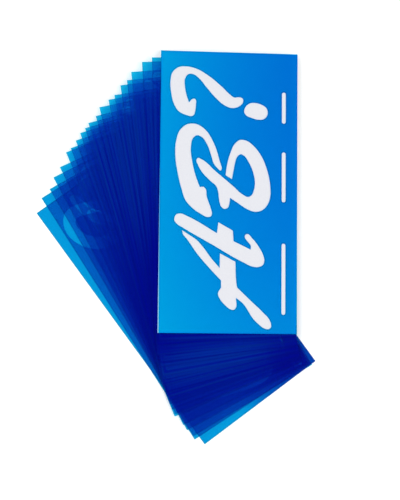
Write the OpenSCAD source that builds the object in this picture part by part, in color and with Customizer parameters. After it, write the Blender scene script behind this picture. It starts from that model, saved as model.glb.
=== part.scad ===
// Lettering stencil set: 21 loose film sheets, fanned out, with a white card under the top one.
// Each sheet has three characters and three spacing slots cut through it.
// Z is up and the bottom sheet lies on the ground, with the fan's box centred on the origin.

/* [Sheet] */
// Length of a sheet, along the line of characters
sheet_l = 286; // [250:1:330]
// Width of a sheet, across the characters
sheet_w = 140; // [125:1:170]
// Thickness of the film
film_t = 0.25; // [0.15:0.05:0.5]
// Clearance between a sheet and what lies on it
sheet_gap = 0.05; // [0.02:0.01:0.2]

/* [Card] */
// How much shorter than a sheet the white card is
card_short = 1; // [0:0.5:60]
// How much narrower than a sheet the white card is
card_narrow = 0.3; // [0:0.1:20]
// Thickness of the white card
card_t = 0.3; // [0.2:0.05:0.6]
// Turn of the card against the top sheet, in degrees
card_turn = -0.3; // [-1:0.1:1]
// How far the card sticks out at the top sheet's bottom left corner
card_peek = 0.9; // [0:0.1:3]
// How far the card's corner there lies above the top sheet's bottom edge
card_rise = 0.9; // [0:0.1:3]

/* [Characters] */
// Line that the characters stand on, from the sheet's bottom edge
base_line = 32; // [30:1:40]
// Margin between the top of a capital and the sheet's top edge
top_margin = 8; // [8:1:24]
// How much higher the small letters are drawn, to leave room for their tails
small_lift = 16; // [14:1:18]
// How much further in the small letters are drawn, to keep their tails clear of the sheet's end
small_indent = 8; // [6:1:10]
// Lean of the characters, as a share of their height
lean = 0.3; // [0.1:0.05:0.3]
// Margin before the first character's place
first_place = 6; // [4:1:16]
// Margin after the last character's place
last_margin = 7; // [6:1:20]
// How far the cut stands outside the drawn stroke
cut_growth = 0.1; // [0.05:0.05:0.3]

/* [Slots] */
// Width of a spacing slot
slot_w = 4; // [3:0.1:6]
// Centre line of the slots, from the sheet's edge
slot_line = 14; // [8:0.1:16]
// Length of the slot beside a capital
capital_slot = 52; // [30:1:60]
// Length of the slot beside a small letter or a number
narrow_slot = 40; // [20:1:50]

/* [Fan] */
// Centre that the fan is turned about, out from the sheet's right edge
fan_out = 58; // [40:1:90]
// Height of that centre above the top sheet's bottom edge
fan_up = 10; // [0:1:40]

/* [Hidden] */

film_blue = [0.02, 0.35, 0.85, 0.8];
card_white = [0.93, 0.92, 0.94];
outline_step = 2;     // length of the straight pieces in an outline's curves
stroke_step = 5;      // length of the straight pieces in a brush stroke
cap_steps = 8;        // straight pieces round the end of a brush stroke
drawn_h = 100;        // height of a capital in the tables below
drawn_step = 91;      // step from one character to the next in the tables below
through = 1;          // how far a cutter stands out of the film on each side

// How each sheet lies, from the top one down: its turn about the fan's centre, in degrees, then
// how far it has slipped across and along itself.
LIE = [
    [0, 0, 0], [1.8, -0.5, -1], [3.5, -2.5, 0.5], [5.8, -3, -1], [7.2, -1.5, -4], [8.6, -2, -3.5],
    [10.3, -1.5, -6.5], [11.5, -2.5, -6], [13.4, -4, -5], [14.9, -2.5, -7.5], [16.6, -3.5, -6.5],
    [17.6, -3.5, -7], [18.8, -4, -6], [20.3, -3.5, -6.5], [22, -3, -6], [22.9, -4.5, -5],
    [26.1, -1, -5], [28.4, -0.5, -3.5], [30.7, 1.5, -4], [32.9, 0.5, 0], [36.5, 5.5, 2.5]
];
sheet_count = len(LIE);

// Characters on each sheet, from the top one down
SETS = ["AB?", "CDE", "FGH", "IJK", "LMN", "OPQ", "RST", "UVW", "XYZ", "abc", "def", "ghi",
    "jkl", "mno", "pqr", "1t2", "3s8", "4uw", "5x6", "7v9", "0yz"];

// The top sheet's characters are outlines, because they are wide and lie nearer the eye.
// A third number marks a sharp corner, and the other points are joined by smooth curves.
A_LEG = [
    [99.8, 85.2, 1], [96, 84.3], [91.5, 80.6], [76.5, 69.9], [61.9, 57.2], [49.8, 45.6, 1],
    [42.5, 45.4, 1], [36.2, 48.6], [31.2, 46.6], [25.3, 41.7], [20.5, 35], [20.2, 32.2],
    [21.6, 30.8], [32.4, 30.3, 1], [26, 22.5], [18.6, 17.5], [12.6, 13.7], [6.1, 7.4], [1.6, 1],
    [1, -2.9], [2.6, -5.2], [5.6, -5.5], [9.9, -4.1], [17.9, 2.9], [28.9, 14.6], [42.8, 29.2, 1],
    [48.1, 30], [68.6, 31, 1], [77, 46.8, 1], [62.3, 47, 1], [71.3, 55], [83, 63.8],
    [90.6, 70.8], [93.3, 74.8], [96.4, 79.7], [98.7, 83.3]
];
A_STEM = [
    [116, 90.7], [116.7, 86.8], [114, 79.8], [97.3, 49.9, 1], [108.4, 48.6, 1], [100, 33.8, 1],
    [89.4, 33, 1], [81.1, 15.6, 1], [84.6, 15.4], [89.7, 19.1], [93.5, 21.6], [95.8, 21.3],
    [96.8, 19.3], [92.4, 13.9], [84.2, 7.4], [76.2, 3], [69.8, 1.6], [65.7, 3], [63.6, 7.4],
    [64.1, 14], [68, 22.8], [85.5, 54.3], [102.6, 84.6], [106.2, 90.4], [109.6, 93],
    [113.2, 92.8]
];
B_BOWL = [
    [1.5, 58.6], [5, 67], [11.1, 75.7], [18, 81.8], [29.6, 86], [47.7, 90.4], [64, 92.6],
    [78.5, 91.8], [89.2, 88], [95.2, 80.8], [95.7, 71.6], [90.4, 62.6], [79.9, 55.2],
    [68.9, 50.5], [58.4, 47.5], [53.9, 46.1], [50.6, 45.3], [48.9, 46.2], [51.3, 49.9],
    [55.3, 53.3], [64, 56.2], [75.1, 60.4], [82.8, 66.3], [84.3, 71], [81.2, 74.8], [73, 76.8],
    [56.8, 75.3], [40.5, 71], [31.6, 67.5, 1], [32, 63.6], [30.7, 62.1], [22.3, 60.5],
    [9.5, 56.1], [5.2, 55.1], [2.4, 56]
];
B_STROKE = [
    [61.3, 69.8], [60.2, 66.6], [48, 51.6], [33.5, 34], [24.3, 23], [22.4, 18.5], [24.2, 14.8],
    [29.1, 12.6], [36, 11.5],
    [47.6, 13.4], [57.1, 17.5], [64.5, 23], [65.9, 26], [63.9, 29.1], [56.6, 31.9], [48.9, 33.4],
    [40.2, 35, 1], [44.2, 41.5, 1], [54.8, 40], [68.4, 36.1], [76.2, 32.3], [80.4, 26.8],
    [79.7, 20.4], [73.8, 12.2], [63.8, 4.7], [49.9, -1], [34, -4.2], [24, -4.4], [15, -1.6],
    [9.1, 4.1], [7.5, 11.5], [10.5, 20.2], [16.3, 29.1], [21.2, 36.7, 1], [15.8, 37.4],
    [11.2, 39], [9.9, 42.6], [12.2, 45.8], [17, 47.5], [28.4, 49.2], [32.3, 50.6], [38.6, 57.4],
    [46.4, 65], [53.2, 69.2], [59.7, 71]
];
ASK_HOOK = [
    [3.8, 75.7], [4.6, 81.6], [8.6, 89.8], [16.1, 94.5], [26.8, 97.2], [39.5, 98], [48.2, 95.9],
    [53.3, 89.8], [54.2, 80.7], [52, 71.2], [45.6, 59.7], [33.8, 45], [26.4, 37.1], [23.7, 33],
    [24.1, 28], [22.8, 24.4], [19.6, 23.8], [14.8, 27.9], [12.8, 35], [15.7, 43.4], [22.2, 51.3],
    [33.2, 61.2], [42.3, 68.9], [46.6, 75], [46.3, 80.1], [42.4, 83.1], [34, 83.4], [25.1, 81.7],
    [17.6, 79.1, 1], [21, 75.8], [21.4, 73.2], [19.6, 71.9], [16.4, 72],
    [8, 73], [5.2, 73.9]
];
ASK_DOT = [
    [9, 22.8], [14, 21.6], [17.8, 17.4], [18.5, 11], [16.7, 4.6], [13.5, 0], [9.6, -1.4],
    [5.6, -0.6], [2.3, 2.5], [1.5, 8], [3.1, 14.9], [6, 21.1]
];
// The top sheet's outlines, and for each character its place and its slot's ends, all drawn
// from the sheet's first place
TOP_OUTLINES = [[A_LEG, A_STEM], [B_BOWL, B_STROKE], [ASK_HOOK, ASK_DOT]];
TOP_PLACES = [-2, 110, 210];
TOP_SLOTS = [[13.5, 85.5], [127.5, 178.5], [208, 240]];

// The other sheets' characters are brush strokes: each point is [across, up, half the width].
// A gap in a closed character is the tie that holds its middle in.
BRUSH = [
    ["C", [[[56, 76, 4], [50, 92, 6], [34, 94, 7], [14, 72, 7], [8, 38, 7], [18, 10, 7],
        [36, 6, 6], [56, 22, 3]]]],
    ["D", [[[26, 76, 6], [19, 50, 7], [13, 22, 6]],
        [[6, 90, 4], [32, 94, 6], [54, 66, 7], [48, 26, 7], [26, 7, 6], [6, 6, 4]]]],
    ["E", [[[54, 88, 4], [36, 94, 6], [18, 80, 6], [20, 60, 5], [36, 54, 3.5]],
        [[36, 54, 3.5], [14, 44, 6], [8, 22, 7], [24, 6, 6], [50, 18, 3]]]],
    ["F", [[[6, 86, 4], [26, 92, 6], [60, 94, 4]], [[38, 78, 6], [30, 44, 7], [18, 8, 6], [6, 8, 3]],
        [[16, 50, 3.5], [32, 52, 4], [54, 56, 3]]]],
    ["G", [[[54, 80, 4], [46, 93, 6], [30, 92, 7], [12, 66, 7], [9, 32, 7], [22, 7, 6], [36, 14, 4]],
        [[34, 42, 3.5], [54, 44, 5], [52, 20, 6], [46, -2, 5]]]],
    ["H", [[[20, 92, 5], [16, 50, 7], [8, 8, 6]], [[54, 92, 6], [46, 50, 7], [42, 8, 6], [52, 6, 3]],
        [[16, 50, 3.5], [32, 53, 3.5], [46, 50, 3.5]]]],
    ["I", [[[14, 84, 3.5], [34, 94, 5], [30, 50, 7], [22, 8, 6], [6, 8, 3.5]]]],
    ["J", [[[16, 86, 3.5], [46, 94, 5], [42, 50, 7], [34, 12, 7], [18, 2, 5], [5, 14, 3.5]]]],
    ["K", [[[22, 92, 6], [16, 50, 7], [8, 8, 6]], [[56, 92, 5], [42, 70, 4], [33, 57, 3.5]],
        [[33, 50, 4], [44, 26, 6], [57, 8, 5]]]],
    ["L", [[[34, 92, 5], [22, 56, 7], [12, 20, 7], [10, 9, 6]], [[10, 8, 6], [32, 8, 5], [54, 16, 3]]]],
    ["M", [[[6, 8, 4], [12, 50, 5], [20, 90, 5]], [[20, 90, 5], [28, 50, 7], [32, 24, 5]],
        [[32, 24, 5], [42, 56, 5], [50, 90, 5]], [[50, 90, 5], [56, 50, 5], [53, 12, 5], [60, 8, 3]]]],
    ["N", [[[6, 8, 4], [12, 50, 5], [20, 90, 5]], [[20, 90, 5], [30, 48, 7], [40, 12, 6]],
        [[40, 12, 6], [46, 50, 5], [54, 90, 4]]]],
    ["O", [[[32, 91, 4], [16, 76, 7], [8, 44, 7], [16, 12, 7], [32, 7, 6], [50, 26, 6], [56, 58, 6],
        [46, 86, 5]]]],
    ["P", [[[24, 74, 6], [18, 44, 7], [8, 8, 6]],
        [[6, 84, 4], [26, 94, 6], [48, 88, 7], [54, 68, 6], [44, 50, 5], [35, 46, 3.5]]]],
    ["Q", [[[32, 91, 4], [16, 76, 7], [8, 44, 7], [16, 12, 7], [32, 7, 6], [50, 26, 6], [56, 58, 6],
        [46, 86, 5]], [[36, 26, 4], [48, 10, 6], [60, 0, 3]]]],
    ["R", [[[24, 74, 6], [18, 44, 7], [8, 8, 6]],
        [[6, 84, 4], [26, 94, 6], [48, 88, 7], [54, 70, 6], [44, 54, 5], [34, 50, 3.5]],
        [[34, 50, 3.5], [42, 28, 6], [56, 6, 5]]]],
    ["S", [[[54, 82, 4], [42, 94, 6], [24, 90, 7], [16, 72, 6], [28, 54, 6], [44, 38, 7], [42, 16, 7],
        [24, 5, 6], [6, 16, 4]]]],
    ["T", [[[4, 84, 4], [22, 92, 6], [60, 94, 4]], [[36, 90, 5], [30, 50, 7], [22, 8, 6], [10, 6, 3]]]],
    ["U", [[[16, 92, 5], [10, 50, 7], [16, 12, 7], [34, 10, 5], [46, 36, 5], [54, 92, 5]],
        [[46, 36, 5], [48, 14, 5], [57, 8, 3]]]],
    ["V", [[[8, 90, 4], [14, 60, 6], [24, 12, 6]], [[24, 12, 6], [40, 56, 5], [54, 92, 4]]]],
    ["W", [[[7, 90, 4], [9, 50, 6], [14, 12, 6]], [[14, 12, 6], [24, 40, 4], [32, 70, 4]],
        [[32, 70, 4], [34, 40, 6], [38, 12, 6]], [[38, 12, 6], [50, 56, 5], [57, 92, 4]]]],
    ["X", [[[10, 90, 5], [30, 50, 7], [50, 10, 5]], [[54, 92, 4], [30, 50, 5], [8, 8, 4]]]],
    ["Y", [[[8, 90, 5], [12, 62, 6], [26, 50, 5], [40, 56, 4]],
        [[54, 92, 5], [42, 52, 6], [30, 8, 6], [12, 4, 3.5]]]],
    ["Z", [[[8, 82, 4], [24, 92, 6], [54, 92, 5]], [[54, 92, 5], [30, 50, 6], [8, 12, 5]],
        [[8, 12, 5], [30, 6, 6], [56, 14, 3.5]]]],
    ["a", [[[40, 46, 4], [22, 50, 5], [10, 30, 6], [14, 8, 6], [28, 10, 4]],
        [[46, 48, 4], [42, 24, 6], [44, 6, 5], [54, 8, 3]]]],
    ["b", [[[24, 78, 4], [16, 40, 6], [10, 8, 6]],
        [[31, 44, 4], [44, 46, 6], [48, 26, 6], [34, 4, 6], [14, 4, 3.5]]]],
    ["c", [[[44, 40, 4], [36, 50, 5], [18, 44, 6], [10, 22, 6], [20, 4, 6], [34, 4, 4], [46, 16, 3]]]],
    ["d", [[[34, 46, 4], [18, 46, 5], [8, 24, 6], [16, 4, 6], [28, 10, 4]],
        [[54, 80, 4], [46, 40, 6], [42, 8, 5], [52, 4, 3]]]],
    ["e", [[[24, 26, 3.5], [38, 32, 4], [42, 44, 5], [30, 51, 5], [14, 36, 6], [12, 14, 6], [26, 4, 6],
        [46, 16, 3]]]],
    ["f", [[[54, 72, 4], [42, 80, 5], [30, 60, 6], [20, 10, 6], [8, -18, 5]],
        [[12, 44, 3.5], [26, 46, 4], [44, 50, 3]]]],
    ["g", [[[40, 46, 4], [22, 50, 5], [10, 32, 6], [14, 12, 5], [28, 14, 4]],
        [[48, 48, 4], [42, 14, 6], [34, -14, 6], [18, -22, 5], [6, -12, 3]]]],
    ["h", [[[24, 78, 4], [14, 36, 6], [8, 6, 5]],
        [[16, 30, 3.5], [30, 48, 5], [42, 44, 6], [40, 20, 6], [42, 4, 4], [52, 8, 3]]]],
    ["i", [[[20, 48, 5], [14, 24, 6], [14, 6, 5], [26, 8, 3]], [[28, 70, 5], [30, 73, 5]]]],
    ["j", [[[34, 48, 5], [28, 10, 6], [18, -18, 5], [4, -16, 3]], [[40, 70, 5], [42, 73, 5]]]],
    ["k", [[[24, 78, 4], [14, 36, 6], [8, 6, 5]], [[46, 50, 4], [34, 36, 4], [27, 30, 3.5]],
        [[27, 28, 3.5], [38, 14, 5], [52, 4, 4]]]],
    ["l", [[[30, 78, 4], [20, 40, 6], [14, 8, 6], [28, 6, 3]]]],
    ["m", [[[14, 48, 4], [10, 26, 6], [6, 4, 4]], [[10, 28, 3.5], [22, 48, 5], [30, 42, 5], [26, 6, 5]],
        [[28, 28, 3.5], [40, 48, 5], [50, 42, 5], [48, 10, 5], [56, 6, 3]]]],
    ["n", [[[16, 48, 4], [12, 26, 6], [8, 4, 4]],
        [[12, 26, 3.5], [28, 48, 5], [42, 42, 6], [40, 12, 5], [50, 6, 3]]]],
    ["o", [[[32, 50, 4], [18, 46, 5], [9, 26, 6], [16, 6, 6], [32, 5, 5], [44, 24, 6], [42, 40, 4]]]],
    ["p", [[[20, 50, 4], [12, 12, 6], [6, -22, 5]],
        [[26, 42, 4], [40, 48, 6], [48, 28, 6], [38, 6, 6], [26, 6, 3.5]]]],
    ["q", [[[40, 46, 4], [22, 50, 5], [9, 28, 6], [14, 8, 6], [26, 11, 4]],
        [[48, 48, 4], [40, 10, 6], [34, -22, 5], [44, -24, 3]]]],
    ["r", [[[16, 48, 4], [12, 26, 6], [8, 4, 4]], [[12, 26, 3.5], [26, 46, 5], [42, 46, 5]]]],
    ["s", [[[42, 42, 4], [30, 50, 5], [16, 42, 5], [24, 28, 5], [36, 16, 6], [24, 3, 6], [6, 10, 4]]]],
    ["t", [[[30, 74, 4], [22, 40, 6], [14, 10, 6], [24, 3, 5], [36, 10, 3]],
        [[8, 46, 3.5], [24, 48, 4], [42, 50, 3]]]],
    ["u", [[[14, 48, 5], [9, 26, 6], [14, 6, 6], [30, 10, 4], [42, 30, 4]],
        [[46, 48, 5], [40, 22, 6], [44, 5, 4], [54, 10, 3]]]],
    ["v", [[[8, 46, 4], [14, 28, 6], [20, 6, 5]], [[20, 6, 5], [36, 26, 4], [44, 48, 4]]]],
    ["w", [[[8, 46, 4], [9, 26, 5], [14, 6, 5]], [[14, 6, 5], [24, 24, 3.5], [30, 40, 3.5]],
        [[30, 40, 3.5], [30, 22, 5], [36, 6, 5]], [[36, 6, 5], [50, 26, 4], [56, 46, 4]]]],
    ["x", [[[10, 46, 5], [24, 24, 6], [40, 4, 5]], [[46, 48, 4], [24, 24, 4], [6, 4, 4]]]],
    ["y", [[[12, 48, 5], [8, 26, 6], [18, 10, 5], [36, 18, 3.5]],
        [[48, 50, 4], [38, 10, 6], [24, -18, 5], [6, -20, 3]]]],
    ["z", [[[8, 44, 4], [22, 48, 5], [44, 48, 4]], [[44, 48, 4], [24, 24, 5], [8, 6, 4]],
        [[8, 6, 4], [24, 3, 5], [46, 8, 3.5]]]],
    ["0", [[[32, 96, 4], [15, 80, 6], [8, 46, 7], [16, 12, 7], [32, 8, 6], [48, 28, 6], [54, 62, 6],
        [45, 89, 5]]]],
    ["1", [[[10, 72, 3.5], [28, 86, 4], [38, 96, 5]], [[38, 96, 5], [30, 50, 7], [22, 6, 6]]]],
    ["2", [[[12, 76, 4], [22, 94, 6], [42, 96, 7], [50, 78, 6], [36, 48, 6], [8, 10, 5]],
        [[8, 10, 5], [28, 10, 6], [56, 6, 3.5]]]],
    ["3", [[[12, 86, 4], [30, 98, 6], [48, 88, 7], [42, 64, 5], [26, 56, 3.5]],
        [[26, 56, 3.5], [46, 46, 6], [48, 20, 7], [28, 4, 6], [6, 14, 4]]]],
    ["4", [[[28, 94, 5], [18, 64, 6], [8, 40, 5]], [[8, 40, 5], [30, 36, 5], [58, 38, 3.5]],
        [[44, 72, 5], [38, 36, 6], [32, 4, 6]]]],
    ["5", [[[56, 94, 4], [34, 94, 5], [24, 92, 5]], [[24, 92, 5], [18, 64, 5], [20, 56, 3.5]],
        [[20, 56, 3.5], [42, 58, 6], [50, 34, 7], [34, 6, 6], [8, 8, 4]]]],
    ["6", [[[50, 92, 4], [30, 84, 6], [12, 50, 7], [10, 22, 7], [24, 5, 6], [44, 14, 6], [48, 38, 6],
        [36, 50, 5], [28, 46, 3.5]]]],
    ["7", [[[8, 86, 4], [22, 94, 6], [54, 94, 5]], [[54, 94, 5], [38, 56, 6], [22, 6, 6]]]],
    ["8", [[[43, 66, 4], [49, 84, 6], [34, 98, 6], [17, 86, 6], [21, 66, 6], [38, 48, 6], [47, 26, 7],
        [32, 6, 6], [13, 10, 6], [10, 28, 5], [20, 44, 4]]]],
    ["9", [[[27, 61, 4], [11, 64, 6], [4, 80, 6], [11, 94, 6], [25, 99.5, 6], [39, 94, 6],
        [43, 70, 6], [36, 36, 7], [25, 6, 6]]]]
];

// The characters fill the sheet between their margins
place_step = (sheet_l - first_place - last_margin) / len(TOP_PLACES);
wide = place_step / drawn_step;
high = (sheet_w - base_line - top_margin) / drawn_h;

// Points of the fan's box, worked out with the fan's centre at zero
centre_in_sheet = [sheet_w / 2 + fan_out, fan_up - sheet_l / 2];
function turned(p, a) = [p[0] * cos(a) - p[1] * sin(a), p[0] * sin(a) + p[1] * cos(a)];
function sheet_offset(i) = [LIE[i][1], LIE[i][2]] - centre_in_sheet;
corners = [
    for (i = [0 : sheet_count - 1], x = [-1, 1], y = [-1, 1])
        turned(sheet_offset(i) + [x * sheet_w / 2, y * sheet_l / 2], LIE[i][0])
];
corner_x = [for (c = corners) c[0]];
corner_y = [for (c = corners) c[1]];
fan_centre = -[max(corner_x) + min(corner_x), max(corner_y) + min(corner_y)] / 2;

// Height of a sheet's underside: the top sheet lies on the card, the others on the next sheet
sheet_pitch = film_t + sheet_gap;
card_z = (sheet_count - 1) * sheet_pitch;
function sheet_z(i) = i == 0 ? card_z + card_t + sheet_gap : (sheet_count - 1 - i) * sheet_pitch;

// Smooth curves. The direction at a point is that of the circle through it and its neighbours.
function along(a, p, b) =
    let (d = (p - a) / pow(norm(p - a), 2) + (b - p) / pow(norm(b - p), 2)) d / norm(d);
function curve(p, p_way, q, q_way, t) =
    let (third = norm(q - p) / 3, p_hand = p + p_way * third, q_hand = q - q_way * third)
    pow(1 - t, 3) * p + 3 * pow(1 - t, 2) * t * p_hand + 3 * (1 - t) * t * t * q_hand
        + pow(t, 3) * q;
function chord(p, q) = (q - p) / norm(q - p);
function flat(p) = [p[0], p[1]];
function sharp(p) = len(p) == 3;

// Closed outline through the points, sharp where a point says so
function outline(pts) = [
    for (i = [0 : len(pts) - 1])
        let (
            n = len(pts),
            prev = flat(pts[(i + n - 1) % n]), p = flat(pts[i]),
            q = flat(pts[(i + 1) % n]), next = flat(pts[(i + 2) % n]),
            p_sharp = sharp(pts[i]), q_sharp = sharp(pts[(i + 1) % n]),
            p_way = p_sharp ? chord(p, q) : along(prev, p, q),
            q_way = q_sharp ? chord(p, q) : along(p, q, next),
            steps = p_sharp && q_sharp ? 1 : ceil(norm(q - p) / outline_step)
        )
        for (s = [0 : steps - 1]) curve(p, p_way, q, q_way, s / steps)
];

// Open path through a stroke's points, with its width changing along the way
function path(pts) = [
    for (i = [0 : len(pts) - 2])
        let (
            p = pts[i], q = pts[i + 1],
            p_way = i == 0 ? chord(p, q) : along(pts[i - 1], p, q),
            q_way = i == len(pts) - 2 ? chord(p, q) : along(p, q, pts[i + 2]),
            steps = ceil(norm(q - p) / stroke_step)
        )
        for (s = [0 : steps - (i == len(pts) - 2 ? 0 : 1)])
            curve(p, p_way, q, q_way, s / steps)
];
function leaned(p) = [p[0] + lean * p[1], p[1]];
function rail(way_pts, side) = [
    for (i = [0 : len(way_pts) - 1])
        let (
            a = leaned(way_pts[max(i - 1, 0)]),
            b = leaned(way_pts[min(i + 1, len(way_pts) - 1)]),
            d = chord(a, b)
        )
        leaned(way_pts[i]) + side * way_pts[i][2] * [-d[1], d[0]]
];

// A drawn shape at its size on the sheet
module shape(pts) {
    polygon([for (p = pts) [p[0] * wide, p[1] * high]]);
}

// Half disc that ends a stroke at p, facing the way d
module stroke_end(p, d) {
    turn = atan2(d[1], d[0]);
    shape([
        for (s = [0 : cap_steps]) let (a = turn - 90 + 180 * s / cap_steps)
            leaned(p) + p[2] * [cos(a), sin(a)]
    ]);
}

module brush_stroke(pts) {
    way_pts = path(pts);
    last = len(way_pts) - 1;
    left = rail(way_pts, 1);
    right = rail(way_pts, -1);
    for (i = [0 : last - 1])
        shape([left[i], left[i + 1], right[i + 1], right[i]]);
    stroke_end(way_pts[0], chord(leaned(way_pts[1]), leaned(way_pts[0])));
    stroke_end(way_pts[last], chord(leaned(way_pts[last - 1]), leaned(way_pts[last])));
}

// Turns the reading direction, along the sheet, onto the sheet's own axes
module on_line() {
    translate([sheet_w / 2, -sheet_l / 2]) rotate(90) children();
}

module character(c) {
    strokes = BRUSH[search(c, BRUSH)[0]][1];
    offset(delta = cut_growth)
        for (s = strokes) brush_stroke(s);
}

// A spacing slot with round ends, as a cutter through the film
module slot(from, to) {
    r = slot_w / 2;
    translate([sheet_w / 2 - slot_line - r, from + r - sheet_l / 2, -through])
        cube([slot_w, to - from - slot_w, film_t + 2 * through]);
    for (u = [from + r, to - r])
        translate([sheet_w / 2 - slot_line, u - sheet_l / 2, -through])
            cylinder(h = film_t + 2 * through, r = r, $fn = 48);
}

module blank() {
    translate([-sheet_w / 2, -sheet_l / 2, 0]) cube([sheet_w, sheet_l, film_t]);
}

// Puts a sheet where it lies in the fan
module lay(i) {
    translate([fan_centre[0], fan_centre[1], sheet_z(i)])
        rotate([0, 0, LIE[i][0]])
            translate(sheet_offset(i))
                children();
}

module cut_through() {
    translate([0, 0, -through]) linear_extrude(film_t + 2 * through) on_line() children();
}

function is_small(c) = ord(c) >= ord("a") && ord(c) <= ord("z");
function is_capital(c) = ord(c) >= ord("A") && ord(c) <= ord("Z");

module sheet(i) {
    color(film_blue) lay(i) difference() {
        blank();
        for (n = [0 : len(TOP_PLACES) - 1]) {
            c = SETS[i][n];
            place = first_place + n * place_step + (is_small(c) ? small_indent * wide : 0);
            rise = base_line + (is_small(c) ? small_lift * high : 0);
            cut_through() translate([place, rise]) character(c);
            slot(place, place + (is_capital(c) ? capital_slot : narrow_slot));
        }
    }
}

module top_sheet() {
    color(film_blue) lay(0) difference() {
        blank();
        for (n = [0 : len(TOP_PLACES) - 1]) {
            cut_through()
                translate([first_place + TOP_PLACES[n] * wide, base_line])
                    for (o = TOP_OUTLINES[n]) shape(outline(o));
            slot(first_place + TOP_SLOTS[n][0] * wide, first_place + TOP_SLOTS[n][1] * wide);
        }
    }
}

// The card lies between the top sheet and the next, its bottom left corner just in sight
module backing_card() {
    color(card_white)
        translate([fan_centre[0], fan_centre[1], card_z])
            translate(sheet_offset(0) - [card_peek + sheet_w / 2, sheet_l / 2 - card_rise])
                rotate([0, 0, card_turn])
                    cube([sheet_w - card_narrow, sheet_l - card_short, card_t]);
}

sheet(20);  // sheet_21
sheet(19);  // sheet_20
sheet(18);  // sheet_19
sheet(17);  // sheet_18
sheet(16);  // sheet_17
sheet(15);  // sheet_16
sheet(14);  // sheet_15
sheet(13);  // sheet_14
sheet(12);  // sheet_13
sheet(11);  // sheet_12
sheet(10);  // sheet_11
sheet(9);  // sheet_10
sheet(8);  // sheet_09
sheet(7);  // sheet_08
sheet(6);  // sheet_07
sheet(5);  // sheet_06
sheet(4);  // sheet_05
sheet(3);  // sheet_04
sheet(2);  // sheet_03
sheet(1);  // sheet_02
backing_card();
top_sheet();  // sheet_01
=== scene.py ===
# %% [markdown]
# # A fan of see-through lettering stencils
# The real set is loose sheets of thin blue film, 21 by a count of their corners. They lie fanned
# out on a white table, and a white card sits under the top one, so that its letters read as white
# shapes. Each sheet of the model has three characters and three short spacing slots cut through
# it. Only the top sheet's can be read in the photograph, so the others are guesses.
#
# The sheets come from the CAD model. This script gives them their film, their card, their light
# and their camera. No sheet is moved or reshaped, and the one new piece is a narrow line of
# painted shade round the cuts of the top sheet.

# %% Load the CAD model
import math

import bmesh
import bpy
from mathutils import Matrix, Vector


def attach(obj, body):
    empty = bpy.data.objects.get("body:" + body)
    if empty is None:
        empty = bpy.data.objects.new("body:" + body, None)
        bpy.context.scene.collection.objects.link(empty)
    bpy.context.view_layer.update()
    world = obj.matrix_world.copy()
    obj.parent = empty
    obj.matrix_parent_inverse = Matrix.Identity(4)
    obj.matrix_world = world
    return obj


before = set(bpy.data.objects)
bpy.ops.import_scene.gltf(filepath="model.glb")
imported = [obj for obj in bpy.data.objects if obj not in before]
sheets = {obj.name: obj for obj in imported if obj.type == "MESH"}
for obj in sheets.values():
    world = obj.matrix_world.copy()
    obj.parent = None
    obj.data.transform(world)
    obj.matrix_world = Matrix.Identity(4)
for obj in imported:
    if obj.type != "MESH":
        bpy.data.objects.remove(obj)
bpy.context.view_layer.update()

# %% [markdown]
# ## The camera
# The photograph was taken from almost straight above. The camera's place and its small tilt were
# worked out from the corners of the top sheet and of the fan, with the sizes that the CAD model
# gives them and a longish lens about a metre up. A picture 500 pixels high and a 72 mm lens on a
# 36 mm sensor give 1000 pixels to each metre at a metre's distance.

# %% Camera
camera_place = (-0.069374, -0.055101, 1.006166)
camera_turn = (2.9, -5.25, 0.39)

camera_data = bpy.data.cameras.new("overhead_camera")
camera_data.sensor_fit = "VERTICAL"
camera_data.sensor_height = 36
camera_data.lens = 72
camera = bpy.data.objects.new("overhead_camera", camera_data)
camera.location = camera_place
camera.rotation_euler = [math.radians(turn) for turn in camera_turn]
bpy.context.scene.collection.objects.link(camera)
bpy.context.scene.camera = camera
print("camera stands", round(camera.location.z, 3), "m above the table")

# %% [markdown]
# ## The light
# Film shows its own colour best when nothing bright is mirrored in it. So the studio is dark
# straight overhead, where the film would mirror it into the camera, and pale all round towards
# the horizon. Two large soft lamps on the left and the right give most of the light, low enough
# that their mirror images miss the camera too. Together they light a flat surface so that a
# colour renders about as it is written.

# %% Sky
# heights of a direction, from 0 at the horizon to 1 straight up
pale_up_to = 0.55
dark_from = 0.88

world = bpy.data.worlds.new("pale_studio")
bpy.context.scene.world = world
world.use_nodes = True
air = world.node_tree
air.nodes.clear()
way = air.nodes.new("ShaderNodeTexCoord")
height = air.nodes.new("ShaderNodeSeparateXYZ")
ramp = air.nodes.new("ShaderNodeValToRGB")
sky = air.nodes.new("ShaderNodeBackground")
air_out = air.nodes.new("ShaderNodeOutputWorld")
ramp.color_ramp.interpolation = "EASE"
ramp.color_ramp.elements[0].position = pale_up_to
ramp.color_ramp.elements[0].color = (1.0, 1.0, 1.0, 1)
ramp.color_ramp.elements[1].position = dark_from
ramp.color_ramp.elements[1].color = (0.02, 0.02, 0.022, 1)
air.links.new(way.outputs["Generated"], height.inputs[0])
air.links.new(height.outputs["Z"], ramp.inputs["Fac"])
air.links.new(ramp.outputs["Color"], sky.inputs["Color"])
air.links.new(sky.outputs[0], air_out.inputs["Surface"])
print("the sky is pale up to", pale_up_to, "and dark from", dark_from)


# %% Softboxes
def soft_lamp(name, place, watts, width):
    """A square softbox that faces the middle of the fan."""
    lamp = bpy.data.lights.new(name, "AREA")
    lamp.energy = watts
    lamp.size = width
    holder = bpy.data.objects.new(name, lamp)
    holder.location = place
    holder.rotation_euler = (-Vector(place)).to_track_quat("-Z", "Y").to_euler()
    bpy.context.scene.collection.objects.link(holder)


lamp_watts = 9.9
lamp_width = 1.0
soft_lamp("softbox_left", (-1.05, 0.2, 1.3), lamp_watts, lamp_width)
soft_lamp("softbox_right", (1.05, -0.2, 1.3), lamp_watts, lamp_width)
print("two softboxes of", lamp_watts, "W")

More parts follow.
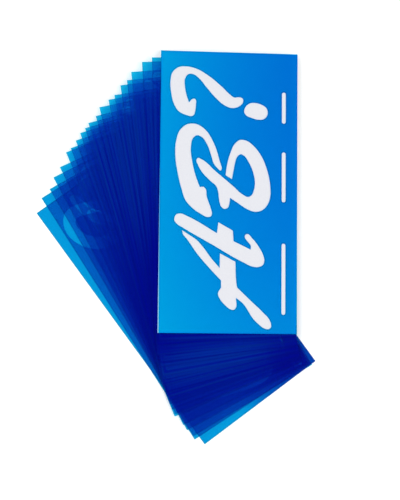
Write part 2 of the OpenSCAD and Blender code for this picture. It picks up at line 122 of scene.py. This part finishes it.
# %% [markdown]
# ## The table
# The set lies on a plain white table. One square made by the grid operator is enough for its top.
# It lies a hair under the lowest sheet, so that the two surfaces don't flicker in each other.

# %% Table top
table_height = -0.0002
table_reach = 4.0

mesh = bpy.data.meshes.new("table_top")
form = bmesh.new()
bmesh.ops.create_grid(form, x_segments=1, y_segments=1, size=table_reach)
bmesh.ops.translate(form, vec=(0, 0, table_height), verts=form.verts)
form.to_mesh(mesh)
form.free()
table = bpy.data.objects.new("table_top", mesh)
bpy.context.scene.collection.objects.link(table)
print("table top at", table_height * 1000, "mm, out to", max(v.co.x for v in mesh.vertices), "m")

# %% [markdown]
# ## Helpers for node trees
# A material is a tree of nodes, and the same few nodes come back in each one. A helper adds one
# of them and gives back its output socket, so that the materials below read much like formulas.

# %% Materials and maths nodes
def new_material(name):
    """A material with nodes, its node tree and its Principled shader."""
    made = bpy.data.materials.new(name)
    made.use_nodes = True
    return made, made.node_tree, made.node_tree.nodes["Principled BSDF"]


def maths(tree, operation, first, second=None, clamp=False):
    """A Math node whose inputs are sockets or plain numbers."""
    made = tree.nodes.new("ShaderNodeMath")
    made.operation = operation
    made.use_clamp = clamp
    for socket, value in zip(made.inputs, (first, second)):
        if isinstance(value, (int, float)):
            socket.default_value = value
        elif value is not None:
            tree.links.new(value, socket)
    return made.outputs[0]


print("two helpers, for materials and for maths")


# %% Lengths and smooth steps
def length_of(tree, vector):
    """The length of a vector."""
    made = tree.nodes.new("ShaderNodeVectorMath")
    made.operation = "LENGTH"
    tree.links.new(vector, made.inputs[0])
    return made.outputs["Value"]


def ease(tree, value, start, end, kind="SMOOTHSTEP"):
    """A smooth step from 0 at start to 1 at end."""
    made = tree.nodes.new("ShaderNodeMapRange")
    made.interpolation_type = kind
    made.inputs["From Min"].default_value = start
    made.inputs["From Max"].default_value = end
    tree.links.new(value, made.inputs["Value"])
    return made.outputs[0]


print("two helpers, for lengths and for smooth steps")

# %% [markdown]
# ## The table's paint
# The paint is a pale white that takes the soft shadow, and a little light of its own for the
# camera's rays lifts it to paper white, without more light on the stencils. The lift is halved
# where a ray has come through film, so that the film keeps its depth, and grows far from the
# set, where the lamps don't reach. Rays that come by a mirror or through glass see the same white.

# %% Table paint
lift_through_film = 0.12
more_lift_where_bare = 0.12
# metres from the middle of the table
lamps_reach_to = 0.6
all_lift_from = 2.2

table_paint, tree, paint = new_material("white_table")
paint.inputs["Base Color"].default_value = (0.92, 0.92, 0.92, 1)
paint.inputs["Roughness"].default_value = 0.9
paint.inputs["Specular IOR Level"].default_value = 0.0
paint.inputs["Emission Color"].default_value = (1, 1, 1, 1)
where = tree.nodes.new("ShaderNodeTexCoord")
path = tree.nodes.new("ShaderNodeLightPath")
bare = maths(tree, "LESS_THAN", path.outputs["Transparent Depth"], 0.5)
near = maths(tree, "ADD", maths(tree, "MULTIPLY", bare, more_lift_where_bare), lift_through_film)
far = ease(tree, length_of(tree, where.outputs["Object"]), lamps_reach_to, all_lift_from)
seen = maths(tree, "MAXIMUM", path.outputs["Is Camera Ray"], path.outputs["Is Glossy Ray"])
seen = maths(tree, "MAXIMUM", seen, path.outputs["Is Transmission Ray"])
lift = maths(tree, "MULTIPLY", seen, maths(tree, "ADD", far, near))
tree.links.new(lift, paint.inputs["Emission Strength"])
mesh.materials.append(table_paint)
print("the bare table near the set is lifted by", lift_through_film + more_lift_where_bare)

# %% [markdown]
# ## Where each sheet lies
# A pattern that follows a sheet, such as the line along its cut edge, needs the sheet's own
# middle and turn. Both are read from the corners of its mesh. A sheet that is turned to the left
# has its bottom edge between its lowest corner and its rightmost one, and its highest corner
# lies across from the lowest. The card is turned a hair to the right. So it comes out as turned
# by nearly 90 degrees, with its width and length changed over, which gives the same four edges.

# %% Middle and turn of a sheet
decimals = 5  # of a metre, to which two corners are compared


def lie_of(sheet):
    """The middle of a sheet, its turn about the upright axis, and half its width and length."""
    points = [v.co for v in sheet.data.vertices]
    lowest = min(points, key=lambda p: (round(p.y, decimals), p.x))
    rightmost = max(points, key=lambda p: (round(p.x, decimals), -p.y))
    highest = max(points, key=lambda p: (round(p.y, decimals), p.x))
    edge = rightmost - lowest
    middle = (lowest + highest) / 2
    side = highest - rightmost
    return middle, math.atan2(edge.y, edge.x), edge.length / 2, side.length / 2


for name in sorted(sheets):
    middle, turn, half_w, half_l = lie_of(sheets[name])
    print(name, "is turned", round(math.degrees(turn), 1), "degrees and measures",
          round(half_w * 2000, 1), "x", round(half_l * 2000, 1), "mm")


# %% Place on a sheet
def place_on(tree, sheet, whole):
    """The place on a sheet, from its middle and along its edges. whole is the Object socket."""
    middle, turn = lie_of(sheet)[:2]
    turned = tree.nodes.new("ShaderNodeMapping")
    turned.vector_type = "TEXTURE"
    turned.inputs["Location"].default_value = (middle.x, middle.y, 0)
    turned.inputs["Rotation"].default_value = (0, 0, turn)
    tree.links.new(whole, turned.inputs["Vector"])
    return turned.outputs[0]


print("a Mapping node will centre and turn each pattern on its sheet")

# %% [markdown]
# ## The dye in the film
# Dyed film takes a share of each colour from the light that passes, and twice as much dye takes
# that share twice. So the colour that one pass leaves is a base colour to the power of the dye's
# strength. The group below works that out for red, green and blue.

# %% Group: film dye
channels = ("Red", "Green", "Blue")
fan_dye = (0.01, 0.66, 0.86)


def new_group(name, inputs, outputs):
    """A node group with the named sockets, and its two end nodes."""
    group = bpy.data.node_groups.new(name, "ShaderNodeTree")
    for label, kind, value in inputs:
        socket = group.interface.new_socket(label, in_out="INPUT", socket_type=kind)
        if value is not None:
            socket.default_value = value
    for label, kind in outputs:
        group.interface.new_socket(label, in_out="OUTPUT", socket_type=kind)
    return group, group.nodes.new("NodeGroupInput"), group.nodes.new("NodeGroupOutput")


dye_sockets = [(channel, "NodeSocketFloat", value) for channel, value in zip(channels, fan_dye)]
dye_sockets.append(("Strength", "NodeSocketFloat", 1.0))
dye, dye_in, dye_out = new_group("film_dye", dye_sockets, [("Color", "NodeSocketColor")])
left = dye.nodes.new("ShaderNodeCombineColor")
for channel in channels:
    share = maths(dye, "POWER", dye_in.outputs[channel], dye_in.outputs["Strength"])
    dye.links.new(share, left.inputs[channel])
dye.links.new(left.outputs[0], dye_out.inputs["Color"])
for films in (2, 5, 20):
    print(films, "films leave", [round(value ** films, 3) for value in fan_dye])

# %% [markdown]
# ## The cut edge
# In the photograph a thin line runs beside most of the sheets' edges, which is shade along the cut
# edge. Part of it may come from sharpening of the picture, so the painted shade is kept faint. The
# group gives a mask of it from the distance to the sheet's four edges.

# %% Group: rim of a sheet
usual_half_w = 0.07
usual_half_l = 0.143
rim_width = 0.0014

rim, rim_in, rim_out = new_group(
    "sheet_rim",
    [("Vector", "NodeSocketVector", None), ("Half width", "NodeSocketFloat", usual_half_w),
     ("Half length", "NodeSocketFloat", usual_half_l), ("Line", "NodeSocketFloat", rim_width)],
    [("Mask", "NodeSocketFloat"), ("Distance", "NodeSocketFloat")])
place = rim.nodes.new("ShaderNodeSeparateXYZ")
rim.links.new(rim_in.outputs["Vector"], place.inputs[0])
across = maths(rim, "SUBTRACT", rim_in.outputs["Half width"],
               maths(rim, "ABSOLUTE", place.outputs["X"]))
along = maths(rim, "SUBTRACT", rim_in.outputs["Half length"],
              maths(rim, "ABSOLUTE", place.outputs["Y"]))
nearest = maths(rim, "MINIMUM", across, along)
inside = maths(rim, "DIVIDE", nearest, rim_in.outputs["Line"], clamp=True)
rim.links.new(maths(rim, "SUBTRACT", 1.0, inside, clamp=True), rim_out.inputs["Mask"])
rim.links.new(nearest, rim_out.inputs["Distance"])
print("a sheet's rim is", rim_width * 1000, "mm wide")


# %% Rim on a sheet
def rim_of(tree, sheet, place):
    """The rim group, set to the size of a sheet. place is the place on that sheet."""
    half_w, half_l = lie_of(sheet)[2:]
    edge = tree.nodes.new("ShaderNodeGroup")
    edge.node_tree = rim
    edge.inputs["Half width"].default_value = half_w
    edge.inputs["Half length"].default_value = half_l
    tree.links.new(place, edge.inputs["Vector"])
    return edge


print("the rim group will be placed in each film and in the card")

# %% [markdown]
# ## Light between the sheets
# Where many films lie on each other, the stack looks navy, but not evenly. The sheets aren't
# pressed flat, so more light gets between them in some places, and each sheet's edge draws thin
# bands of shade and glow beside it. Soft round patches paint that light and shade into the milky
# colour of the film, and a noise that runs only across the distance to a sheet's edge paints the
# bands, with a different start for each sheet. A small part of the bands is added everywhere, so
# that they show in the dark too.

# %% Soft patch
def soft_patch(tree, vector, centre, size, turn):
    """A smooth patch that is 1 at its centre and 0 outside its oval."""
    onto = tree.nodes.new("ShaderNodeMapping")
    onto.vector_type = "TEXTURE"
    onto.inputs["Location"].default_value = (*centre, 0)
    onto.inputs["Rotation"].default_value = (0, 0, math.radians(turn))
    onto.inputs["Scale"].default_value = (*size, 1)
    tree.links.new(vector, onto.inputs["Vector"])
    flat = tree.nodes.new("ShaderNodeVectorMath")
    flat.operation = "MULTIPLY"
    flat.inputs[1].default_value = (1, 1, 0)
    tree.links.new(onto.outputs[0], flat.inputs[0])
    return ease(tree, length_of(tree, flat.outputs[0]), 1.0, 0.0, "SMOOTHERSTEP")


# patches with a positive weight paint light into the haze, those with a negative weight paint
# shade
# each patch: its weight, its centre, half its size across and along, and its turn in degrees
patches = [(0.55, (-0.07, 0.13), (0.13, 0.17), 0.0),
           (0.5, (0.035, -0.116), (0.11, 0.03), 14.0),
           (-0.16, (-0.03, -0.06), (0.05, 0.11), 0.0),
           (-0.25, (0.12, -0.11), (0.06, 0.05), 0.0),
           (-0.2, (-0.014, 0.03), (0.034, 0.2), 0.0)]
print(len(patches), "patches lift or dim the haze")

# %% Group: light between the sheets
usual_amount = 0.25
bands_to_a_metre = 420.0
band_swing = 4.0
swing_in_the_dark = 0.1

between, between_in, between_out = new_group(
    "light_between",
    [("Vector", "NodeSocketVector", None), ("Distance", "NodeSocketFloat", 0.0),
     ("Start", "NodeSocketFloat", 0.0), ("Bands", "NodeSocketFloat", band_swing)],
    [("Amount", "NodeSocketFloat")])
amount = usual_amount
for weight, centre, size, turn in patches:
    patch = soft_patch(between, between_in.outputs["Vector"], centre, size, turn)
    amount = maths(between, "ADD", maths(between, "MULTIPLY", patch, weight), amount)
# bands of painted shade and glow beside each sheet's edge
bands = between.nodes.new("ShaderNodeTexNoise")
bands.noise_dimensions = "1D"
bands.inputs["Scale"].default_value = 1.0
bands.inputs["Detail"].default_value = 1.0
steps = maths(between, "MULTIPLY", between_in.outputs["Distance"], bands_to_a_metre)
between.links.new(maths(between, "ADD", steps, between_in.outputs["Start"]), bands.inputs["W"])
swing = maths(between, "MULTIPLY", maths(between, "SUBTRACT", bands.outputs["Fac"], 0.5),
              between_in.outputs["Bands"])
amount = maths(between, "MULTIPLY", amount, maths(between, "ADD", swing, 1.0))
dark_bands = maths(between, "MULTIPLY", swing, swing_in_the_dark)
between.links.new(maths(between, "ADD", amount, dark_bands, clamp=True),
                  between_out.inputs["Amount"])
print("the bands are about", round(1000 / bands_to_a_metre, 1), "mm wide")

# %% [markdown]
# ## The film
# Film could be real glass in the render, but 21 sheets of bending glass are slow and noisy, and
# film as thin as this bends next to nothing. A Transparent shader with the dye's colour lets the
# light straight through, and a Principled shader mixed into it gives the gloss, and the milky
# blue haze that the stack shows where many films lie on each other. Only the face that looks at
# the viewer takes light away: the back face is left clear, so each film counts once.

# %% Mixing two colours
factor_socket, first_colour, second_colour, mixed_colour = 0, 6, 7, 2  # of a Mix node


def colour_mix(tree, factor, first, second, blend="MIX"):
    """A Mix node of two colours, each a socket or a plain colour."""
    made = tree.nodes.new("ShaderNodeMix")
    made.data_type = "RGBA"
    made.blend_type = blend
    tree.links.new(factor, made.inputs[factor_socket])
    for number, value in ((first_colour, first), (second_colour, second)):
        if isinstance(value, tuple):
            made.inputs[number].default_value = (*value, 1)
        else:
            tree.links.new(value, made.inputs[number])
    return made.outputs[mixed_colour]


print("a Mix node takes its colours at", first_colour, "and", second_colour)

# %% Light that a film lets through
# painted shade along each film's cut edge: what the edge leaves, against what the middle leaves
fan_edge_shade = (1.0, 0.92, 0.8)


def passed_light(tree, place, edge, front, dye_left, edge_shade_tint, strength_of):
    """A Transparent shader with the colour that one film leaves."""
    colour = tree.nodes.new("ShaderNodeGroup")
    colour.node_tree = dye
    for channel, value in zip(channels, dye_left):
        colour.inputs[channel].default_value = value
    if strength_of:
        tree.links.new(strength_of(tree, place), colour.inputs["Strength"])
    # the rim mask deepens the film's colour along its edge, as painted shade
    edge_shaded = colour_mix(tree, edge.outputs["Mask"], colour.outputs[0], edge_shade_tint, "MULTIPLY")
    clear = tree.nodes.new("ShaderNodeBsdfTransparent")
    tree.links.new(colour_mix(tree, front, (1, 1, 1), edge_shaded), clear.inputs["Color"])
    return clear


print("a film's rim leaves", fan_edge_shade, "of what its middle leaves")

# %% Milk in the film
dark_haze = (0.0015, 0.008, 0.68)
light_haze = (0.003, 0.09, 0.82)
film_roughness = 0.15


def milky_light(tree, haze, whole, edge, start):
    """Gives the Principled shader its roughness and the haze's colour, with patches and bands of
    painted light and shade.
    """
    gap = tree.nodes.new("ShaderNodeGroup")
    gap.node_tree = between
    gap.inputs["Start"].default_value = start
    gap.inputs["Bands"].default_value = band_swing
    tree.links.new(whole, gap.inputs["Vector"])
    tree.links.new(edge.outputs["Distance"], gap.inputs["Distance"])
    milk = colour_mix(tree, gap.outputs[0], dark_haze, light_haze)
    tree.links.new(milk, haze.inputs["Base Color"])
    haze.inputs["Roughness"].default_value = film_roughness
    haze.inputs["Specular IOR Level"].default_value = 0.5


print("the haze goes from", dark_haze, "to", light_haze)


# %% Two shaders in one
def blend_shaders(tree, share, first, second):
    """Makes a material's surface of two shaders. share, of the second, is a socket or number."""
    both = tree.nodes.new("ShaderNodeMixShader")
    if isinstance(share, float):
        both.inputs["Fac"].default_value = share
    else:
        tree.links.new(share, both.inputs["Fac"])
    tree.links.new(first.outputs[0], both.inputs[1])
    tree.links.new(second.outputs[0], both.inputs[2])
    tree.links.new(both.outputs[0], tree.nodes["Material Output"].inputs["Surface"])


print("one helper, to blend two shaders")

# %% Film material
fan_haze = 0.176
film_ior = 1.5
gloss_share = 0.6


def film(name, sheet, start, dye_left=fan_dye, haze_share=fan_haze, edge_shade_tint=fan_edge_shade,
         strength_of=None):
    """The blue film of one sheet. strength_of may add nodes for a dye that varies."""
    made, tree, haze = new_material(name)
    whole = tree.nodes.new("ShaderNodeTexCoord").outputs["Object"]
    place = place_on(tree, sheet, whole)
    edge = rim_of(tree, sheet, place)
    side = tree.nodes.new("ShaderNodeNewGeometry")
    front = maths(tree, "SUBTRACT", 1.0, side.outputs["Backfacing"])
    clear = passed_light(tree, place, edge, front, dye_left, edge_shade_tint, strength_of)
    milky_light(tree, haze, whole, edge, start)
    shine = tree.nodes.new("ShaderNodeFresnel")
    shine.inputs["IOR"].default_value = film_ior
    share = maths(tree, "ADD", maths(tree, "MULTIPLY", shine.outputs[0], gloss_share), haze_share)
    blend_shaders(tree, maths(tree, "MULTIPLY", share, front), clear, haze)
    return made


print("haze takes", fan_haze, "of a film of the fan")


# %% Film of the fan
def dress(sheet, finish):
    """Puts a finish in every material slot of a CAD piece."""
    sheet.data.materials.clear()
    sheet.data.materials.append(finish)


band_shift = 7.3  # of the noise, from one sheet to the next
for number in range(2, 21):
    name = f"sheet_{number:02d}"
    dress(sheets[name], film(f"blue_film_{number:02d}", sheets[name], band_shift * number))
print("19 sheets of the fan have their film")

# %% [markdown]
# ## Films whose depth varies
# The lowest sheet's lower right corner looks nearly as dark in the photograph as the middle of
# the fan, and the top sheet looks deeper towards its upper right corner. Both are given as a dye
# whose strength changes with the place on the sheet: u runs from -1 at the left edge to 1 at the
# right, v from -1 at the bottom to 1 at the top.

# %% Film of the lowest sheet
more_films_at_the_corner = 2.7


def across_and_along(tree, place):
    """The sockets u and v of a place on a sheet."""
    split = tree.nodes.new("ShaderNodeSeparateXYZ")
    tree.links.new(place, split.inputs[0])
    return (maths(tree, "DIVIDE", split.outputs["X"], usual_half_w),
            maths(tree, "DIVIDE", split.outputs["Y"], usual_half_l))


def deeper_at_the_corner(tree, place):
    """One film at the left, and nearly four at the lower right corner."""
    u, v = across_and_along(tree, place)
    corner = maths(tree, "MULTIPLY", ease(tree, u, -0.35, 0.6), ease(tree, v, -0.55, -0.8))
    return maths(tree, "ADD", maths(tree, "MULTIPLY", corner, more_films_at_the_corner), 1.0)


dress(sheets["sheet_21"], film("blue_film_21", sheets["sheet_21"], band_shift * 21,
                               strength_of=deeper_at_the_corner))
print("the lowest sheet's corner counts as", 1 + more_films_at_the_corner, "films")

# %% Film of the top sheet
top_dye = (0.01, 0.65, 0.93)
top_haze = 0.012
# painted shade along the top sheet's cut edge
top_edge_shade = (1.0, 0.95, 0.85)
strength_in_the_middle = 1.413
less_at_the_right_edge = 0.12


def deeper_to_the_right(tree, place):
    """A dye that is deeper towards the upper right corner, and lighter at the right edge."""
    u, v = across_and_along(tree, place)
    terms = [(0.342, u), (0.136, v), (0.116, maths(tree, "MULTIPLY", u, v)),
             (-0.062, maths(tree, "MULTIPLY", u, u)), (-0.132, maths(tree, "MULTIPLY", v, v))]
    strength = strength_in_the_middle
    for weight, term in terms:
        strength = maths(tree, "ADD", maths(tree, "MULTIPLY", term, weight), strength)
    at_the_edge = maths(tree, "MULTIPLY", ease(tree, u, 0.89, 0.97), less_at_the_right_edge)
    return maths(tree, "SUBTRACT", strength, at_the_edge)


dress(sheets["sheet_01"], film("blue_film_01", sheets["sheet_01"], 0.0, top_dye, top_haze,
                               top_edge_shade, deeper_to_the_right))
print("the top sheet's dye has a strength of", strength_in_the_middle, "in its middle")

# %% [markdown]
# ## The cut line round each letter
# In the photograph a thin, deeper line runs round each white shape. It is shade along the cut
# edge, and part of it may come from sharpening of the picture too, so only a mild line of painted
# shade is made. It could be painted by distance to the cut, but a material can't measure that. So
# a narrow ribbon of darker film follows every cut inside the film's thickness: the edges round the
# cuts are picked out of a copy of the sheet, extruded, and pushed back into the film.

# %% Edges round the cuts
border = 0.0005  # metres from the sheet's own edge, within which a line belongs to it
same_point = 1e-6


def cut_edges(form, sheet):
    """The top edges round the cuts, and for each of their corners the way into the film."""
    middle, turn, half_w, half_l = lie_of(sheet)
    onto_sheet = Matrix.Rotation(-turn, 3, "Z")
    top = max(v.co.z for v in form.verts)
    cuts = set()
    inward = {}
    for line in form.edges:
        if min(v.co.z for v in line.verts) < top - same_point:
            continue
        place = onto_sheet @ ((line.verts[0].co + line.verts[1].co) / 2 - middle)
        if abs(place.x) > half_w - border or abs(place.y) > half_l - border:
            continue
        walls = [face for face in line.link_faces if abs(face.normal.z) < 0.5]
        if len(walls) == 1 and len(line.link_faces) == 2:
            cuts.add(line)
            for corner in line.verts:
                inward[corner] = inward.get(corner, Vector()) - walls[0].normal
    return cuts, inward


print("lines within", border * 1000, "mm of a sheet's own edge are left out")


# %% Ribbon along the cuts of the top sheet
def cut_line(name, sheet, inset, width, depth):
    """A flat ribbon in the film round each cut, from inset to inset + width off the cut."""
    form = bmesh.new()
    form.from_mesh(sheet.data)
    bmesh.ops.remove_doubles(form, verts=form.verts, dist=same_point)
    form.normal_update()
    cuts, inward = cut_edges(form, sheet)
    others = [line for line in form.edges if line not in cuts]
    bmesh.ops.delete(form, geom=form.faces[:], context="FACES_ONLY")
    bmesh.ops.delete(form, geom=others, context="EDGES")
    made = bmesh.ops.extrude_edge_only(form, edges=form.edges[:])
    outer = [item for item in made["geom"] if isinstance(item, bmesh.types.BMVert)]
    for corner in outer:
        near = next(line.other_vert(corner) for line in corner.link_edges
                    if line.other_vert(corner) in inward)
        corner.co += inward[near].normalized() * (inset + width)
    for corner in set(form.verts) - set(outer):
        corner.co += inward[corner].normalized() * inset
    bmesh.ops.translate(form, vec=(0, 0, -depth), verts=form.verts)
    bmesh.ops.recalc_face_normals(form, faces=form.faces)
    mesh = bpy.data.meshes.new(name)
    form.to_mesh(mesh)
    form.free()
    piece = bpy.data.objects.new(name, mesh)
    bpy.context.scene.collection.objects.link(piece)
    return piece


# a ribbon of painted shade round the cuts of the top sheet
shade_ribbon = cut_line("cut_line_01", sheets["sheet_01"], inset=0.0003, width=0.001, depth=0.0001)
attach(shade_ribbon, "sheet_01")
print("the ribbon has", len(shade_ribbon.data.polygons), "faces")

# %% Film of the ribbon
# the ribbon darkens the film it lies in: painted shade along the cut
ribbon_shade_share = 0.05

ribbon_shade_film, tree, ribbon_shade = new_material("cut_edge_shade")
clear = tree.nodes.new("ShaderNodeBsdfTransparent")
clear.inputs["Color"].default_value = (0.9, 0.93, 0.88, 1)
ribbon_shade.inputs["Base Color"].default_value = (0.2, 0.3, 0.45, 1)
ribbon_shade.inputs["Roughness"].default_value = 0.5
blend_shaders(tree, ribbon_shade_share, clear, ribbon_shade)
shade_ribbon.data.materials.append(ribbon_shade_film)
print("the ribbon is clear film with", ribbon_shade_share, "ribbon_shade")

# %% [markdown]
# ## The card
# A plain white card lies under the top sheet. Matt paper is a rough white surface with a faint
# grain of fibres, which a fine noise gives to its colour and its bumps. Where the card peeks out
# beside the film, its border looks blue in the photograph. The cause isn't known for certain, and
# the rim group paints it as blue light from the film's edge, a tint on the paper.

# %% Card
border_width = 0.0025
# painted blue light from the film's edge, on the card's border
border_blue_light = (0.3, 0.68, 0.95)
fibres_to_a_metre = 900
bump_height = 0.0001

card = sheets["backing_card"]
card_paper, tree, paper = new_material("white_card")
paper.inputs["Roughness"].default_value = 0.85
paper.inputs["Specular IOR Level"].default_value = 0.2
whole = tree.nodes.new("ShaderNodeTexCoord").outputs["Object"]
fibres = tree.nodes.new("ShaderNodeTexNoise")
fibres.inputs["Scale"].default_value = fibres_to_a_metre
fibres.inputs["Detail"].default_value = 4
tree.links.new(whole, fibres.inputs["Vector"])
tone = tree.nodes.new("ShaderNodeValToRGB")
tone.color_ramp.elements[0].position = 0.35
tone.color_ramp.elements[0].color = (0.8, 0.808, 0.862, 1)
tone.color_ramp.elements[1].position = 0.65
tone.color_ramp.elements[1].color = (0.825, 0.835, 0.88, 1)
tree.links.new(fibres.outputs["Fac"], tone.inputs["Fac"])
card_rim = rim_of(tree, card, place_on(tree, card, whole))
card_rim.inputs["Line"].default_value = border_width
paper_with_blue_light = colour_mix(tree, card_rim.outputs["Mask"], tone.outputs[0], border_blue_light)
tree.links.new(paper_with_blue_light, paper.inputs["Base Color"])
grain = tree.nodes.new("ShaderNodeBump")
grain.inputs["Strength"].default_value = 0.15
grain.inputs["Distance"].default_value = bump_height
tree.links.new(fibres.outputs["Fac"], grain.inputs["Height"])
tree.links.new(grain.outputs[0], paper.inputs["Normal"])
dress(card, card_paper)
print("the card has its paper, with a blue border of", border_width * 1000, "mm")

# %% [markdown]
# ## Finish
# Light passes up to 21 films on its way down and again on its way up, and each film has two
# faces, so the renderer has to allow that many clear surfaces on one ray.

# %% Render settings
scene = bpy.context.scene
scene.view_settings.view_transform = "Standard"
scene.cycles.transparent_max_bounces = 128
scene.cycles.max_bounces = 12
